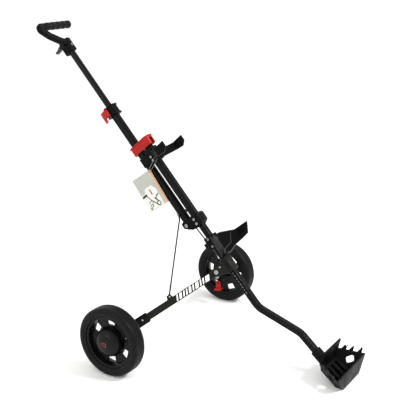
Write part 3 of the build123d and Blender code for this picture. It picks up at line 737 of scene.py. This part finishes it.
# %% Mark on the hub caps
mark_red = printed("mark_red", (0.16, 0.022, 0.012, 1), (0.22, 0.04, 0.02, 1))
mark_lines = [
    ((-7, -6), (7, -6)), ((7, -6), (7, 6)), ((-7, 6), (1, 6)),
    ((-7, -6), (-7, 6)), ((-2, 0), (3, 0)),
]
LINE_WIDTH = 2.4
MARK_DEPTH = 0.9 * MM
outline = [stroke(start, end, LINE_WIDTH) for start, end in mark_lines]
for side, way in (("right", -1), ("left", 1)):
    cap_low, cap_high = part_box(f"{side}_hub_cap")
    wheel_middle = middle(f"{side}_tyre")
    cap_face = Vector((cap_low.x if way < 0 else cap_high.x, wheel_middle.y, wheel_middle.z))
    cap_plane = (cap_face - ACROSS * way * MARK_DEPTH, Vector((0, 1, 0)), -UP, ACROSS * way)
    mark = joined("cap_mark", [flat_shape(part, cap_plane, MARK_DEPTH) for part in outline])
    add_piece(f"{side}_cap_mark", mark, f"{side}_wheel", mark_red)

# %% [markdown]
# ## Rivets
# Domed heads finish the rivets that hold the legs in their sockets, the bolts of the link rods and
# the rivets of the hub's pressed wings. A dome is a short arc spun round its own axis.

# %% Rivets


def dome(origin, axis, radius, height):
    """A rivet's head, standing on origin."""
    turns = [pi / 2 * n / 6 for n in range(6)]
    arc = [(height * sin(turn), radius * cos(turn)) for turn in turns] + [(height, 0)]
    return spun([(-1 * MM, radius * 0.98)] + arc, origin, axis, 20, closed=False)


# How far out each head sits, and its share of the way from the hinge to the wheel's centre.
SOCKET_FACE = 9.5 * MM
LUG_FACE = 12.4 * MM
WING_FACE = 8.5 * MM
SOCKET_RIVET_SHARE = 0.716
ROD_BOLT_SHARE = 0.4318
ROD_BOLT_LIFT = 16
for side, way in (("right", 1), ("left", -1)):
    hinge_side = joint(f"{side}_leg_fold")
    pivot = Vector(hinge_side["pos_m"])
    face_way = Vector(hinge_side["axis"]).normalized() * way
    to_wheel = middle(f"{side}_tyre") - pivot
    along, reach = to_wheel.normalized(), to_wheel.length
    lift = face_way.cross(along)
    lift = lift if lift.z > 0 else -lift
    socket = pivot + along * reach * SOCKET_RIVET_SHARE + face_way * SOCKET_FACE
    lug = pivot + along * (reach * ROD_BOLT_SHARE) + lift * ROD_BOLT_LIFT * MM + face_way * LUG_FACE
    wing = pivot - along * 20 * MM + face_way * WING_FACE + lift * 8 * MM
    heads = (
        (f"{side}_socket_rivet", "rivet", socket, 3.6, 2.2, f"{side}_leg_body"),
        (f"{side}_rod_bolt_head", "bolt", lug, 3, 1.6, f"{side}_leg_body"),
        (f"{side}_wing_rivet", "stop", wing, 3.2, 1.6, "frame"),
    )
    for name, mesh_name, place, radius, height, body in heads:
        head = finish_mesh(mesh_name, dome(place, face_way, radius * MM, height * MM))
        add_piece(name, head, body, steel)

# %% [markdown]
# ## Ribs on the cradles
# Each cradle arm has raised ribs along its outside, as thin moulded walls need. A rib follows
# the arm's outline: an open row of corners is given a width, then a thickness.

# %% Cradle ribs


def rib(points, plane, height, thickness):
    """A raised strip along points (across, front) on a plane, this high along its normal."""
    origin, right, front, out = plane
    shape = bmesh.new()
    lines = []
    for level in (-height / 2, height / 2):
        places = [origin + (right * x + front * y) * MM + out * level for x, y in points]
        lines.append([shape.verts.new(place) for place in places])
    for n in range(len(points) - 1):
        shape.faces.new((lines[0][n], lines[0][n + 1], lines[1][n + 1], lines[1][n]))
    bmesh.ops.recalc_face_normals(shape, faces=shape.faces)
    bmesh.ops.solidify(shape, geom=shape.faces[:], thickness=thickness)
    return shape


def cradle_ribs(name, body, origin, reach, levels):
    """Ribs along both arms' outsides: each level is (place up the tube, where the rib ends)."""
    shapes = []
    for way in (-1, 1):
        for level, end in levels:
            arm = [(way * 27.5, 15), (way * 61.2, reach * 0.55), (way * 59.6, end)]
            plane = (origin + up_tube * level * MM, ACROSS, -behind, up_tube)
            shapes.append(rib(arm, plane, 3 * MM, 1.4 * MM))
    piece = add_piece(name, joined(name, shapes), body, black_moulding)
    bevel(piece, 0.4 * MM)


LOWER_CRADLE, UPPER_CRADLE = on_front_axis(172), on_front_axis(535)
cradle_ribs("lower_cradle_ribs", "frame", LOWER_CRADLE, 120, [(-14, 106), (-33, 94)])
cradle_ribs("upper_cradle_ribs", "upper_frame", UPPER_CRADLE, 100, [(-11, 92), (-25, 84)])

# %% [markdown]
# ## Fins and ribs of the foot
# Pointed fins stand along both side walls of the scoop and grip the bag, and low ribs stiffen its
# floor. A fin leans with its wall: one side of its plane runs along the wall's top edge.

# %% Foot details
FIN_OUTLINE = [(-9, 0), (9, 0), (3, 21), (-1, 21)]
PLATE_THICK = 2 * MM
EDGE_RADIUS = 0.4 * MM
fins = []
for way in (-1, 1):
    edge = Vector((way * 49, -81, -21)).normalized()
    point_way = Vector((way * 0.5, -0.3, 0.8)).normalized()
    face_way = edge.cross(point_way).normalized()
    for front, out, top in ((606, 72, 64), (628, 86, 59), (652, 101, 53)):
        root = floor_point + Vector((way * out, -front, top - 3)) * MM
        fins.append(flat_shape(FIN_OUTLINE, (root, edge, point_way, face_way), PLATE_THICK))
fin_mesh = joined("foot_fins", fins)
foot_fins = add_piece("foot_fins", fin_mesh, "frame", black_moulding)
bevel(foot_fins, EDGE_RADIUS)
rib_outline = [(602, 36), (644, 3.5), (666, 3.5), (666, 12), (646, 13), (602, 46)]
forward = Vector((0, -1, 0))
ribs = [
    flat_shape(rib_outline, (floor_point + ACROSS * across * MM, forward, UP, ACROSS), PLATE_THICK)
    for across in (-31, -1, 29)
]
rib_mesh = joined("foot_ribs", ribs)
foot_ribs = add_piece("foot_ribs", rib_mesh, "frame", black_moulding)
bevel(foot_ribs, EDGE_RADIUS)
